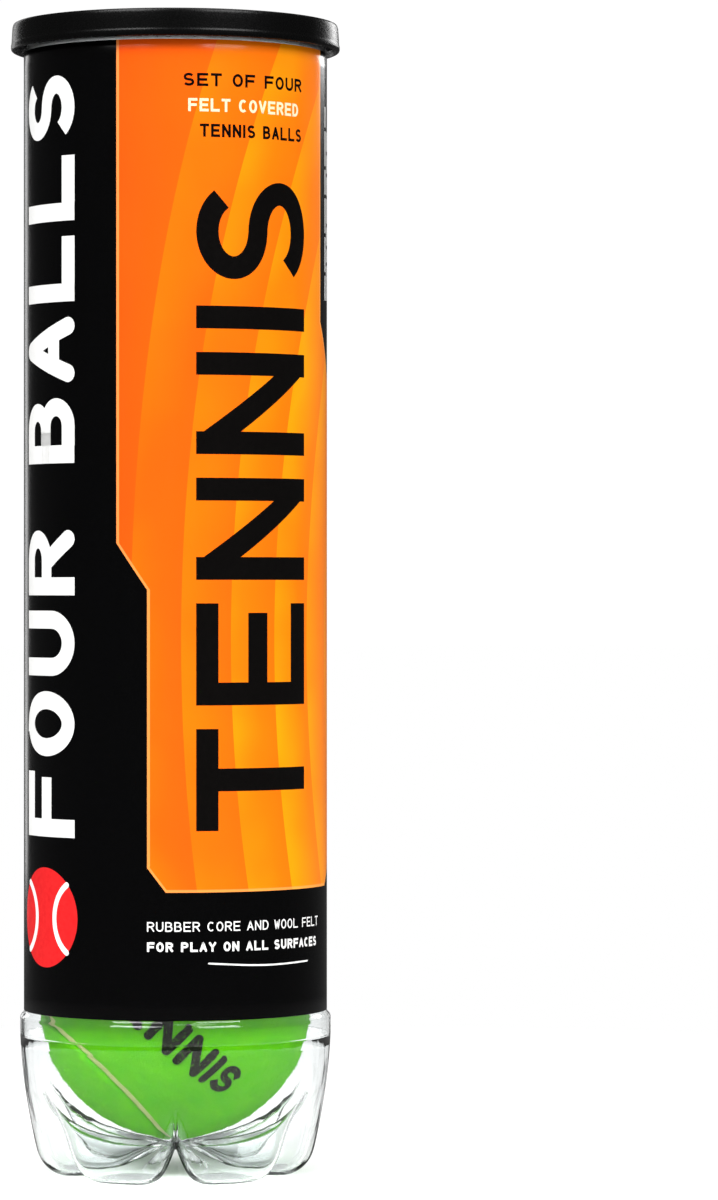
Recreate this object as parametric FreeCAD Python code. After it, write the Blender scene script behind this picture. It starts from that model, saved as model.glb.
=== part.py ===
"""Four-ball tennis can: clear bottle on six feet, printed wrap, ring-pull metal end, cap and four balls.

Units are millimetres. The origin is the centre of the circle on which the feet stand, +Z runs up the can's
axis and -Y is the front, where a valley of the base lies between two feet.
"""

import FreeCAD
import Part

import math
import os

Vector = FreeCAD.Vector

# ---- driving dimensions ---------------------------------------------------------------------------------
# Balls
BALL_COUNT = 4
BALL_RADIUS = 33.1  # over the felt
FELT_THICKNESS = 3.3
CORE_WALL = 3.4
SEAM_WIDTH = 2.0
SEAM_RECESS = 0.9  # how far the cement line lies below the felt
SEAM_FILM = 0.05  # the straight foot of the cement line clears the round core by this
SEAM_WAIST = 0.855  # the larger share of the two-term seam curve; the rest is the smaller share
BALL_GAP = 0.2  # between one ball and the next
BALL_REST = 0.3  # between the lowest ball and the middle of the base
BALL_CLEARANCE = 3.2  # between a ball and the bore of the bottle
BALL_YAW = (3.0, 128.0, 231.0, 62.0)  # turn of each ball's broad side about the can's axis, degrees
BALL_ROLL = (-45.0, 25.0, 80.0, -10.0)  # turn of each ball about the middle of that side, degrees

# Bottle
WALL = 0.5
BAND_PROUD = 1.05  # how far the widest band stands out from the recessed wall under the wrap
FOOT_COUNT = 6
FOOT_EDGE = 11.85  # from the side of the band in to the outer edge of a pad
FOOT_PAD_WIDTH = 7.0
FOOT_CORNER = 8.0
FOOT_CORNER_TURN = 75.0  # degrees of arc from the pad up to the side of the foot
FOOT_SIDE_POWER = 1.6  # how late the side of the foot leaves the full radius
FOOT_SUNK = 0.4  # how far the moulded curve runs below the ground before the pads are cut flat
FOOT_WALL = 1.0
VALLEY_SHARE = 0.58  # the sine of the foot angle at which a valley's side reaches the foot
VALLEY_TOP = 26.0  # where a valley's floor runs out into the side
CENTRE_HEIGHT = 6.4  # underside of the base on the axis
CENTRE_WALL = 1.6
GATE_RADIUS = 1.6
GATE_LENGTH = 0.7
SIDE_RUN = 8.0  # from the top of a valley up to where the feet run out into the band
PARTING_STEP = 0.05  # ledge left by the joint between the base mould and the side moulds
BAND_HEIGHT = 4.6
STEP_RISE = 1.2  # height of the taper from the band to the panel wall
RIM_CHAMFER = 0.15  # on both edges of the bottle's rim

# Wrap
WRAP_FOOT_GAP = 0.2  # above the taper
WRAP_HEAD_GAP = 0.5  # below the cap
WRAP_THICKNESS = 0.1
WRAP_GAP = 0.05

# Metal end and its seam
SHEET = 0.25
PANEL_CLEARANCE = 0.5  # over the top ball
PANEL_DEPTH = 4.05  # from the seam's top down to the panel
SCORE_MARGIN = 2.6  # from the bore in to the score
SCORE_GAP = 0.05
COUNTERSINK_DEPTH = 1.9
COUNTERSINK_WIDTH = 0.9
SEAM_OVERHANG = 1.7  # from the wall of the bottle out to the middle of the seam's outer sheet
SEAM_HEIGHT = 2.6
HOOK_REACH = 0.9
HOOK_RISE = 0.8
FLANGE_THICKNESS = 0.8
COMPOUND = 0.2
COMPOUND_WIDTH = 0.7
SEAM_CORNER = 0.7  # bend radius over the top of the seam
CHUCK_CLEARANCE = 0.1

# Ring-pull tab
RIVET_EDGE = 8.7  # from the score to the rivet's centre
RIVET_RADIUS = 1.9
RIVET_HEAD_RADIUS = 2.9
TAB_NOSE_EDGE = 3.0  # from the score to the tip of the tab's nose
TAB_LENGTH = 43.0
TAB_WIDTH = 25.0
TAB_NOSE_WIDTH = 17.0
TAB_RIM = 1.2  # height of the rolled rim, which is also the thickest part of the tab
TAB_RIM_WIDTH = 2.0
TAB_WEB = 0.4
TAB_LIFT = 0.5  # gap between the tab and the panel
RING_WIDTH = 3.5  # from the side of the tab in to the finger hole
WINDOW_LENGTH = 10.5
WINDOW_WIDTH = 11.0
ISLAND_CLEARANCE = 0.6
ISLAND_THICKNESS = 0.4

# Cap
CAP_GAP = 0.15  # over the seam, and round it
CAP_PLATE = 1.2
CAP_WALL = 0.9
CAP_SKIRT = 1.25  # how far the skirt reaches below the bead
CAP_FLARE = 0.4  # how much wider the skirt is at its foot
CAP_BEAD = 0.35  # inward bead that lies under the seam
CAP_BEAD_DROP = 1.0
CAP_RECESS = 0.5
CAP_RIM = 3.2  # width of the raised ring round the top

# ---- derived places -------------------------------------------------------------------------------------
BORE_RADIUS = BALL_RADIUS + BALL_CLEARANCE
PANEL_RADIUS = BORE_RADIUS + WALL
BASE_RADIUS = PANEL_RADIUS + BAND_PROUD
FOOT_PAD_OUTER = BASE_RADIUS - FOOT_EDGE
FOOT_PAD_INNER = FOOT_PAD_OUTER - FOOT_PAD_WIDTH
BASE_TOP = VALLEY_TOP + SIDE_RUN
BAND_TOP = BASE_TOP + BAND_HEIGHT
WRAP_BOTTOM = BAND_TOP + STEP_RISE + WRAP_FOOT_GAP
FIRST_BALL = CENTRE_HEIGHT + CENTRE_WALL + BALL_REST + BALL_RADIUS
BALL_PITCH = 2 * BALL_RADIUS + BALL_GAP
STACK_TOP = FIRST_BALL + (BALL_COUNT - 1) * BALL_PITCH + BALL_RADIUS
END_BOTTOM = STACK_TOP + PANEL_CLEARANCE
END_TOP = END_BOTTOM + SHEET
SEAM_TOP = END_TOP + PANEL_DEPTH
FLANGE_TOP = SEAM_TOP - SHEET - COMPOUND
SEAM_RADIUS = PANEL_RADIUS + SEAM_OVERHANG + SHEET / 2
CAP_UNDER = SEAM_TOP + CAP_GAP
CAP_TOP = CAP_UNDER + CAP_PLATE
CAP_BEAD_TOP = SEAM_TOP - SEAM_HEIGHT - SHEET - CAP_GAP
CAP_FOOT = CAP_BEAD_TOP - CAP_BEAD_DROP - CAP_SKIRT
WRAP_TOP = CAP_FOOT - WRAP_HEAD_GAP
SCORE_RADIUS = BORE_RADIUS - SCORE_MARGIN
RIVET_X = SCORE_RADIUS - RIVET_EDGE
TAB_NOSE_X = SCORE_RADIUS - TAB_NOSE_EDGE
TAB_BOTTOM = END_TOP + TAB_LIFT
FINGER_RADIUS = TAB_WIDTH / 2 - RING_WIDTH


# ---- shared shapes --------------------------------------------------------------------------------------
def point(radius, height):
    """A point of a profile, in the plane that is turned about the axis."""
    return Vector(radius, 0, height)


def turned(points):
    """A solid of revolution about the can's axis from a closed outline of (radius, height) points."""
    outline = Part.makePolygon([point(r, z) for r, z in points + points[:1]])
    return Part.Face(outline).revolve(Vector(0, 0, 0), Vector(0, 0, 1), 360)


def tube(inner, outer, bottom, top):
    return turned([(inner, bottom), (outer, bottom), (outer, top), (inner, top)])


def slab(bottom):
    """A block that covers everything below a height."""
    reach = 2 * BASE_RADIUS
    return Part.makeBox(2 * reach, 2 * reach, reach, Vector(-reach, -reach, bottom - reach))


def rounded_path(corners, radii):
    """A wire through the corner points, each inner corner rounded by an arc of its radius."""
    places = [point(r, z) for r, z in corners]
    edges = []
    start = places[0]
    for before, here, after, radius in zip(places, places[1:], places[2:], radii):
        to_before = (before - here).normalize()
        to_after = (after - here).normalize()
        half = to_before.getAngle(to_after) / 2
        reach = radius / math.tan(half)
        middle = here + (to_before + to_after).normalize() * (radius / math.sin(half) - radius)
        arc_start = here + to_before * reach
        arc_end = here + to_after * reach
        edges.append(Part.LineSegment(start, arc_start).toShape())
        edges.append(Part.Arc(arc_start, middle, arc_end).toShape())
        start = arc_end
    edges.append(Part.LineSegment(start, places[-1]).toShape())
    return Part.Wire(edges)


def bent_sheet(corners, radii, thickness):
    """A ring of sheet metal: its middle line, thickened to both sides and turned about the axis."""
    arcs, filled, open_ended = 0, True, True
    inner_side = rounded_path(corners, radii).makeOffset2D(-thickness / 2, arcs, not filled, open_ended)
    band = inner_side.makeOffset2D(thickness, arcs, filled, open_ended)
    return band.revolve(Vector(0, 0, 0), Vector(0, 0, 1), 360)


def smooth_solid(rows):
    """A solid under a smooth closed skin: each row is a ring of control points, from the pole to the rim."""
    around, along, degree = len(rows[0]), len(rows), 3
    skin = Part.BSplineSurface()
    skin.buildFromPolesMultsKnots(
        [[row[i] for row in rows] for i in range(around)],
        [1] * (around + 1),
        [degree + 1] + [1] * (along - degree - 1) + [degree + 1],
        list(range(around + 1)),
        list(range(along - degree + 1)),
        True,
        False,
        degree,
        degree,
    )
    side = skin.toShape()
    rim = max((e for e in side.Edges if e.isClosed()), key=lambda e: e.BoundBox.ZMin)
    shell = Part.Shell([side, Part.Face(Part.Wire([rim]))])
    shell.sewShape()
    solid = Part.Solid(shell)
    if solid.Volume < 0:
        solid.reverse()
    return solid


# ---- bottle ---------------------------------------------------------------------------------------------
def foot_outline(radius, centre, pad, corner):
    """Points down the middle of a foot: a dome, the flat pad, a round corner and the side up to BASE_TOP."""
    dome_steps, pad_steps, corner_steps, side_steps = 6, 4, 5, 8
    points = []
    for i in range(dome_steps):
        share = i / dome_steps
        fall = (1 - math.cos(math.pi * share)) / 2
        points.append((FOOT_PAD_INNER * share, centre + (pad - centre) * fall))
    for i in range(pad_steps):
        points.append((FOOT_PAD_INNER + (FOOT_PAD_OUTER - FOOT_PAD_INNER) * i / pad_steps, pad))
    for i in range(corner_steps):
        turn = math.radians(FOOT_CORNER_TURN) * i / corner_steps
        points.append((FOOT_PAD_OUTER + corner * math.sin(turn), pad + corner * (1 - math.cos(turn))))
    turn = math.radians(FOOT_CORNER_TURN)
    low_r = FOOT_PAD_OUTER + corner * math.sin(turn)
    low_z = pad + corner * (1 - math.cos(turn))
    for i in range(side_steps + 1):
        share = i / side_steps
        side_r = radius - (radius - low_r) * (1 - share) ** FOOT_SIDE_POWER
        points.append((side_r, low_z + (BASE_TOP - low_z) * share))
    return points


def shares(points):
    """How far along a polyline each of its points lies, from 0 to 1."""
    lengths = [0.0]
    for (r0, z0), (r1, z1) in zip(points, points[1:]):
        lengths.append(lengths[-1] + math.hypot(r1 - r0, z1 - z0))
    return [length / lengths[-1] for length in lengths]


def valley_outline(radius, centre, foot):
    """Points of the dome between the feet and of the side over it, one for each point of the foot's."""
    steps = 40
    turns = [math.pi / 2 * i / steps for i in range(steps + 1)]
    rise = VALLEY_TOP - centre
    dome = [(radius * math.sin(t), centre + rise * (1 - math.cos(t))) for t in turns]
    dome.append((radius, BASE_TOP))
    dome_shares = shares(dome)
    points = []
    for wanted in shares(foot):
        after = next((i for i, share in enumerate(dome_shares) if share >= wanted and i), len(dome) - 1)
        part = (wanted - dome_shares[after - 1]) / (dome_shares[after] - dome_shares[after - 1])
        (r0, z0), (r1, z1) = dome[after - 1], dome[after]
        points.append((r0 + (r1 - r0) * part, z0 + (z1 - z0) * part))
    return points


def foot_share(angle):
    """0 on a valley's floor and 1 on a foot, with rounded shoulders between them."""
    raw = abs(math.sin(FOOT_COUNT * angle / 2)) / VALLEY_SHARE
    softness = 0.25
    return (raw + 1 - math.sqrt((raw - 1) ** 2 + softness**2)) / 2


def base_solid(radius, centre, pad, corner):
    """The base of the bottle as a full solid, feet and valleys included, up to BASE_TOP."""
    foot = foot_outline(radius, centre, pad, corner)
    valley = valley_outline(radius, centre, foot)
    around = 16 * FOOT_COUNT
    front = -math.pi / 2
    lowest, highest = foot_share(0), foot_share(math.pi / FOOT_COUNT)
    rows = []
    for (foot_r, foot_z), (valley_r, valley_z) in zip(foot, valley):
        row = []
        for i in range(around):
            angle = 2 * math.pi * i / around
            share = (foot_share(angle) - lowest) / (highest - lowest)
            r = valley_r + (foot_r - valley_r) * share
            z = valley_z + (foot_z - valley_z) * share
            row.append(Vector(r * math.cos(angle + front), r * math.sin(angle + front), z))
        rows.append(row)
    return smooth_solid(rows)


def bottle_outside():
    feet = base_solid(BASE_RADIUS - PARTING_STEP, CENTRE_HEIGHT, -FOOT_SUNK, FOOT_CORNER)
    gate_at = Vector(0, 0, CENTRE_HEIGHT - GATE_LENGTH)
    gate = Part.makeCylinder(GATE_RADIUS, GATE_LENGTH + CENTRE_WALL / 2, gate_at)
    overlap = 0.6
    flange = SEAM_RADIUS - SHEET - CHUCK_CLEARANCE
    upper = turned(
        [
            (0, BASE_TOP - overlap),
            (BASE_RADIUS, BASE_TOP - overlap),
            (BASE_RADIUS, BAND_TOP),
            (PANEL_RADIUS, BAND_TOP + STEP_RISE),
            (PANEL_RADIUS, FLANGE_TOP - FLANGE_THICKNESS),
            (flange, FLANGE_TOP - FLANGE_THICKNESS),
            (flange, FLANGE_TOP - RIM_CHAMFER),
            (flange - RIM_CHAMFER, FLANGE_TOP),
            (0, FLANGE_TOP),
        ]
    )
    return feet.fuse(upper).fuse(gate).cut(slab(0))


def bottle_inside():
    inner_base = BASE_RADIUS - PARTING_STEP - WALL
    feet = base_solid(inner_base, CENTRE_HEIGHT + CENTRE_WALL, FOOT_WALL - FOOT_SUNK, FOOT_CORNER - FOOT_WALL)
    overlap = 0.3
    above = 1.0
    upper = turned(
        [
            (0, BASE_TOP - overlap),
            (BASE_RADIUS - WALL, BASE_TOP - overlap),
            (BASE_RADIUS - WALL, BAND_TOP - WALL / 2),
            (BORE_RADIUS, BAND_TOP + STEP_RISE - WALL / 2),
            (BORE_RADIUS, FLANGE_TOP - RIM_CHAMFER),
            (BORE_RADIUS + RIM_CHAMFER, FLANGE_TOP),
            (BORE_RADIUS + RIM_CHAMFER, FLANGE_TOP + above),
            (0, FLANGE_TOP + above),
        ]
    )
    return feet.fuse(upper)


def can_bottle():
    return bottle_outside().cut(bottle_inside())


def wrap():
    inner = PANEL_RADIUS + WRAP_GAP
    return tube(inner, inner + WRAP_THICKNESS, WRAP_BOTTOM, WRAP_TOP)


# ---- metal end ------------------------------------------------------------------------------------------
def end_rim():
    """The part of the end that stays on the can: score edge, countersink, chuck wall and seam."""
    middle = END_TOP - SHEET / 2
    chuck = BORE_RADIUS - CHUCK_CLEARANCE - SHEET / 2
    groove = middle - COUNTERSINK_DEPTH
    top = SEAM_TOP - SHEET / 2
    outside = SEAM_RADIUS - SHEET / 2
    foot = SEAM_TOP - SEAM_HEIGHT
    corners = [
        (SCORE_RADIUS + SCORE_GAP, middle),
        (chuck - COUNTERSINK_WIDTH, middle),
        (chuck - COUNTERSINK_WIDTH, groove),
        (chuck, groove),
        (chuck, top),
        (outside, top),
        (outside, foot),
        (outside - HOOK_REACH, foot),
        (outside - HOOK_REACH, foot + HOOK_RISE),
    ]
    tight = 1.6 * SHEET
    return bent_sheet(corners, [tight, tight, tight, SEAM_CORNER, SEAM_CORNER, tight, tight], SHEET)


def seam_compound():
    outer = SEAM_RADIUS - SHEET / 2 - SEAM_CORNER
    return tube(outer - COMPOUND_WIDTH, outer, FLANGE_TOP, FLANGE_TOP + COMPOUND)


def tear_panel():
    """The scored disc that peels out, with a raised bead, a finger well under the tab and its rivet."""
    bead, bead_width, bead_rise = 0.86 * SCORE_RADIUS, 1.6, 0.35
    well_depth, well_radius = 0.4 * PANEL_CLEARANCE, FINGER_RADIUS + 1.0
    disc = Part.makeCylinder(SCORE_RADIUS - SCORE_GAP, SHEET, Vector(0, 0, END_BOTTOM))
    ridge = turned(
        [
            (bead - bead_width / 2, END_TOP - SHEET / 2),
            (bead + bead_width / 2, END_TOP - SHEET / 2),
            (bead + bead_width / 4, END_TOP + bead_rise),
            (bead - bead_width / 4, END_TOP + bead_rise),
        ]
    )
    well_at = Vector(finger_x() - well_radius / 2, 0, END_BOTTOM - well_depth)
    well = Part.makeCylinder(well_radius, SHEET + well_depth, well_at)
    hollow = Part.makeCylinder(well_radius - SHEET, SHEET + well_depth, well_at + Vector(0, 0, SHEET))
    head_bottom = TAB_BOTTOM + ISLAND_THICKNESS
    neck = Part.makeCylinder(RIVET_RADIUS, head_bottom - END_BOTTOM, Vector(RIVET_X, 0, END_BOTTOM))
    head = Part.makeCylinder(RIVET_HEAD_RADIUS, ISLAND_THICKNESS, Vector(RIVET_X, 0, head_bottom))
    brim = [e for e in head.Edges if e.isClosed() and e.BoundBox.ZMin > head_bottom]
    head = head.makeFillet(ISLAND_THICKNESS / 2, brim)
    return disc.fuse(ridge).fuse(well).cut(hollow).fuse(neck).fuse(head)


def finger_x():
    """Centre of the tab's finger hole."""
    return TAB_NOSE_X - TAB_LENGTH + TAB_WIDTH / 2


def plan_face(points_and_bulges, height):
    """A flat face from plan points; a number after a point bulges the next side outwards by that much."""
    edges = []
    count = len(points_and_bulges)
    for i in range(count):
        x0, y0, bulge = points_and_bulges[i]
        x1, y1, _ = points_and_bulges[(i + 1) % count]
        start, end = Vector(x0, y0, height), Vector(x1, y1, height)
        if bulge:
            along = (end - start).normalize()
            middle = (start + end) * 0.5 + Vector(along.y, -along.x, 0) * bulge
            edges.append(Part.Arc(start, middle, end).toShape())
        else:
            edges.append(Part.LineSegment(start, end).toShape())
    return Part.Face(Part.Wire(edges))


def tab_outline(inset, height):
    """The tab's plan: a straight-sided shank that runs from the nose into a round ring."""
    nose = TAB_NOSE_X - inset
    nose_half = TAB_NOSE_WIDTH / 2 - inset
    shoulder = nose - 2.5
    ring = TAB_WIDTH / 2 - inset
    middle = finger_x()
    return plan_face(
        [
            (middle, -ring, 0),
            (shoulder - 8.0, -nose_half, 0),
            (shoulder, -nose_half + 1.0, 0),
            (nose - 0.6, -nose_half / 2, 0.6),
            (nose - 0.6, nose_half / 2, 0),
            (shoulder, nose_half - 1.0, 0),
            (shoulder - 8.0, nose_half, 0),
            (middle, ring, ring),
        ],
        height,
    )


def window_block(clearance):
    """The gap round the island, or with a clearance the island itself."""
    front = TAB_NOSE_X - TAB_RIM_WIDTH - clearance
    back = TAB_NOSE_X - TAB_RIM_WIDTH - WINDOW_LENGTH + clearance
    half = WINDOW_WIDTH / 2 - clearance
    round_end = half * 0.6
    return plan_face(
        [
            (front - round_end, half, 0),
            (front, half - round_end, 0),
            (front, -half + round_end, 0),
            (front - round_end, -half, 0),
            (back, -half, 0),
            (back, half, 0),
        ],
        TAB_BOTTOM,
    )


def pull_ring():
    """The moving part of the tab: a web with a rolled rim round its outside, window and finger hole."""
    up = Vector(0, 0, TAB_RIM)
    body = tab_outline(0, TAB_BOTTOM).extrude(up)
    edge_round = 0.35
    hollow = tab_outline(TAB_RIM_WIDTH, TAB_BOTTOM + TAB_WEB).extrude(up)
    ring_at = Vector(finger_x(), 0, TAB_BOTTOM)
    ring_wall = Part.makeCylinder(FINGER_RADIUS + 0.8 * TAB_RIM_WIDTH, TAB_RIM, ring_at)
    finger = Part.makeCylinder(FINGER_RADIUS, 3 * TAB_RIM, ring_at - up)
    window = window_block(0).extrude(Vector(0, 0, 3 * TAB_RIM))
    window.translate(Vector(0, 0, -TAB_RIM))
    body = body.makeFillet(edge_round, [e for e in body.Edges if e.BoundBox.ZLength < 1e-6])
    return body.cut(hollow.cut(ring_wall)).cut(finger).cut(window)


def tab_island():
    """The tongue of the tab that stays riveted flat to the panel."""
    plate = window_block(ISLAND_CLEARANCE).extrude(Vector(0, 0, ISLAND_THICKNESS))
    hole_at = Vector(RIVET_X, 0, TAB_BOTTOM - ISLAND_THICKNESS)
    return plate.cut(Part.makeCylinder(RIVET_RADIUS, 4 * ISLAND_THICKNESS, hole_at))


# ---- cap ------------------------------------------------------------------------------------------------
def cap():
    inner = SEAM_RADIUS + CAP_GAP
    outer_top = inner + CAP_WALL
    outer_foot = outer_top + CAP_FLARE
    body = turned(
        [
            (0, CAP_UNDER),
            (inner, CAP_UNDER),
            (inner, CAP_BEAD_TOP),
            (inner - CAP_BEAD + CAP_GAP, CAP_BEAD_TOP - CAP_BEAD_DROP / 2),
            (inner, CAP_BEAD_TOP - CAP_BEAD_DROP),
            (inner + CAP_WALL / 3, CAP_FOOT),
            (outer_foot - CAP_WALL / 2, CAP_FOOT),
            (outer_foot, CAP_FOOT + CAP_WALL),
            (outer_top, CAP_TOP),
            (outer_top - CAP_RIM, CAP_TOP),
            (outer_top - CAP_RIM - CAP_RECESS, CAP_TOP - CAP_RECESS),
            (0, CAP_TOP - CAP_RECESS),
        ]
    )
    near = 1e-3
    rims = [e for e in body.Edges if e.isClosed() and e.BoundBox.ZMin > CAP_TOP - near]
    outer_rim = [e for e in rims if e.BoundBox.XMax > outer_top - near]
    return body.makeFillet(CAP_WALL, outer_rim)


# ---- balls ----------------------------------------------------------------------------------------------
def seam_curve(radius, shift):
    """The closed seam on a sphere, moved sideways over the surface by shift. The broad side faces +Z."""
    large, small = SEAM_WAIST, 1 - SEAM_WAIST
    height = 2 * math.sqrt(large * small)
    count = 72

    def place(t):
        across = large * math.sin(t) + small * math.sin(3 * t)
        up = large * math.cos(t) - small * math.cos(3 * t)
        return Vector(across, up, height * math.cos(2 * t))

    points = []
    for i in range(count):
        t = 2 * math.pi * i / count
        here = place(t)
        along = place(t + 1e-4) - place(t - 1e-4)
        side = here.cross(along).normalize()
        points.append((here + side * (shift / radius)).normalize() * radius)
    curve = Part.BSplineCurve()
    curve.interpolate(Points=points, PeriodicFlag=True)
    return curve.toShape()


def seam_edges(low, high):
    """The four edges of the seam's channel, in order round its section: down one wall and up the other."""
    left, right = seam_curve(BALL_RADIUS, SEAM_WIDTH / 2), seam_curve(BALL_RADIUS, -SEAM_WIDTH / 2)
    down, out = low / BALL_RADIUS, high / BALL_RADIUS
    return [left.scaled(out), left.scaled(down), right.scaled(down), right.scaled(out)]


def cement_line(core):
    """The ring that fills the bottom of the channel between the two felts."""
    edges = seam_edges(core + SEAM_FILM, BALL_RADIUS - SEAM_RECESS)
    sides = [Part.makeRuledSurface(one, other) for one, other in zip(edges, edges[1:] + edges[:1])]
    shell = Part.Shell([face for side in sides for face in side.Faces])
    shell.sewShape()
    solid = Part.Solid(shell)
    if solid.Volume < 0:
        solid.reverse()
    return solid


def hollow_ball(outer, inner):
    return Part.makeSphere(outer).cut(Part.makeSphere(inner))


def felt_halves(core):
    """The two equal felts: the layer over the core, split by the two walls of the seam's channel."""
    edges = seam_edges(0.8 * core, 1.1 * BALL_RADIUS)
    walls = [Part.makeRuledSurface(edges[0], edges[1]), Part.makeRuledSurface(edges[2], edges[3])]
    pieces, _ = hollow_ball(BALL_RADIUS, core).generalFuse(walls)
    felts = sorted(pieces.Solids, key=lambda s: s.Volume)[-2:]
    return sorted(felts, key=lambda s: -s.CenterOfMass.z)


def ball_pieces():
    """One ball about the origin: two rubber half shells, two felts and the cement line between them."""
    core = BALL_RADIUS - FELT_THICKNESS
    rubber = hollow_ball(core, core - CORE_WALL)
    half = Part.makeBox(4 * core, 4 * core, 2 * core, Vector(-2 * core, -2 * core, 0))
    felt_a, felt_b = felt_halves(core)
    return {
        "shell_upper": rubber.common(half),
        "shell_lower": rubber.cut(half),
        "felt_a": felt_a,
        "felt_b": felt_b,
        "seam": cement_line(core),
    }


def ball_placement(index):
    yaw = FreeCAD.Rotation(Vector(0, 0, 1), BALL_YAW[index % len(BALL_YAW)])
    face_front = FreeCAD.Rotation(Vector(1, 0, 0), 90)
    roll = FreeCAD.Rotation(Vector(0, 0, 1), BALL_ROLL[index % len(BALL_ROLL)])
    return FreeCAD.Placement(Vector(0, 0, FIRST_BALL + index * BALL_PITCH), yaw * face_front * roll)


def ball_nodes():
    pieces = ball_pieces()
    nodes = {}
    for index in range(BALL_COUNT):
        for name, shape in pieces.items():
            placed = shape.copy()
            placed.Placement = ball_placement(index).multiply(placed.Placement)
            nodes[f"ball_{index + 1}_{name}"] = placed
    return nodes


def main():
    nodes = {
        "can_bottle": can_bottle(),
        "wrap": wrap(),
        "seam_compound": seam_compound(),
        "end_rim": end_rim(),
        "tear_panel": tear_panel(),
        "tab_island": tab_island(),
        "pull_ring": pull_ring(),
        "cap": cap(),
    }
    nodes.update(ball_nodes())
    os.makedirs("parts", exist_ok=True)
    for name, shape in nodes.items():
        shape.exportStep(f"parts/{name}.step")
        print(f"{name}: {len(shape.Solids)} solids, valid {shape.isValid()}, {shape.Volume:.1f} mm3")
    print(f"overall height {CAP_TOP:.2f} mm, first ball centre {FIRST_BALL:.2f} mm")


main()
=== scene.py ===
import math

import bmesh
import bpy
import numpy as np
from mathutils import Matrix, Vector


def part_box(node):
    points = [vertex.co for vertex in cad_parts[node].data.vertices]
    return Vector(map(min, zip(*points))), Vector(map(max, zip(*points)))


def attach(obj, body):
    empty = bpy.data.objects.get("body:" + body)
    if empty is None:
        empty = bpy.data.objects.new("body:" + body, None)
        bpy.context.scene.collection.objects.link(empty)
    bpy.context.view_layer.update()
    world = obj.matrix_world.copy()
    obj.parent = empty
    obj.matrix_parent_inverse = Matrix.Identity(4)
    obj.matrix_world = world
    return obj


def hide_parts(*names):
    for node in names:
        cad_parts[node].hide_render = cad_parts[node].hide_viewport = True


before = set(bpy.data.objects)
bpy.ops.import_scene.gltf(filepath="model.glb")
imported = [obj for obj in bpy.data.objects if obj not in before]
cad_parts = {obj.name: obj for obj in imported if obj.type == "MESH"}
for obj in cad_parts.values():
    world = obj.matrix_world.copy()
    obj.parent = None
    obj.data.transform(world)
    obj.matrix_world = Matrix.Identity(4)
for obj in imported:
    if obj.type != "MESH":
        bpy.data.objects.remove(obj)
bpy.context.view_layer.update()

rng = np.random.default_rng(4)

# ---- sizes of the can, in millimetres --------------------------------------------------------------------
MM = 0.001
BASE_R, PANEL_R, WALL = 37.85, 36.8, 0.5
PARTING_STEP = 0.02
BORE_R = PANEL_R - WALL
FOOT_COUNT, FOOT_PAD_INNER, FOOT_PAD_OUTER = 6, 19.0, 26.0
FOOT_CORNER, FOOT_CORNER_TURN, FOOT_SIDE_POWER = 8.0, math.radians(75), 1.6
FOOT_SUNK, FOOT_WALL = 0.4, 1.0
VALLEY_SHARE, VALLEY_TOP = 0.58, 26.0
CENTRE_Z, CENTRE_WALL, BASE_TOP, BAND_TOP, STEP_RISE = 6.4, 1.6, 34.0, 38.6, 1.2
GATE_CLEAR = 1.9
WRAP_LOW, WRAP_HIGH = (corner.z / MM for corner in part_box("wrap"))
WRAP_R = PANEL_R + 0.15
FLANGE_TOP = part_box("can_bottle")[1].z / MM
FLANGE_R, FLANGE_THICK = 38.275, 0.8
CAP_LOW, CAP_HIGH = (corner.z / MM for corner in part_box("cap"))
CAP_FOOT_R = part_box("cap")[1].x / MM
CAP_BORE_R = 38.775
BALL_R, FELT, SEAM_WIDTH, SEAM_RECESS = 33.1, 3.3, 2.0, 0.9
CORE_R = BALL_R - FELT
SEAM_LARGE = 0.855
BALL_YAW = (3.0, 128.0, 231.0, 62.0)
BALL_ROLL = (-45.0, 25.0, 80.0, -10.0)

# ---- sizes of the prints and the felt, in millimetres ----------------------------------------------------
INK, TOP_INK, UNDER = 0.03, 0.05, -0.03  # how thick one print and a second over it are, and how deep both reach
STAMP_HEIGHT, STAMP_LETTER, STAMP_GAP, STAMP_STROKE = 10.2, 8.4, 1.3, 2.3
STAMP_MIDDLE, STAMP_TILT = (-2.3, -5.8), math.radians(-43)
WORD = (0.4, 0.035)  # corner radius and thickness of the three upright words
BACK_MIDDLE = 100.0  # round the wrap from the front
EDGE_ROLL = 1.3  # radius of a felt's rolled edge

# ---- how near mesh points are joined, in metres ----------------------------------------------------------
WELD_REACH, SLIVER = 2e-7, 1e-8


def ball_centre(number):
    """The middle of a ball: on the axis, halfway up the box round its two rubber shells."""
    low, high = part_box(f"ball_{number}_shell_lower"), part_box(f"ball_{number}_shell_upper")
    bottom = min(low[0].z, high[0].z)
    top = max(low[1].z, high[1].z)
    return np.array([0, 0, (bottom + top) / 2 / MM])


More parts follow.
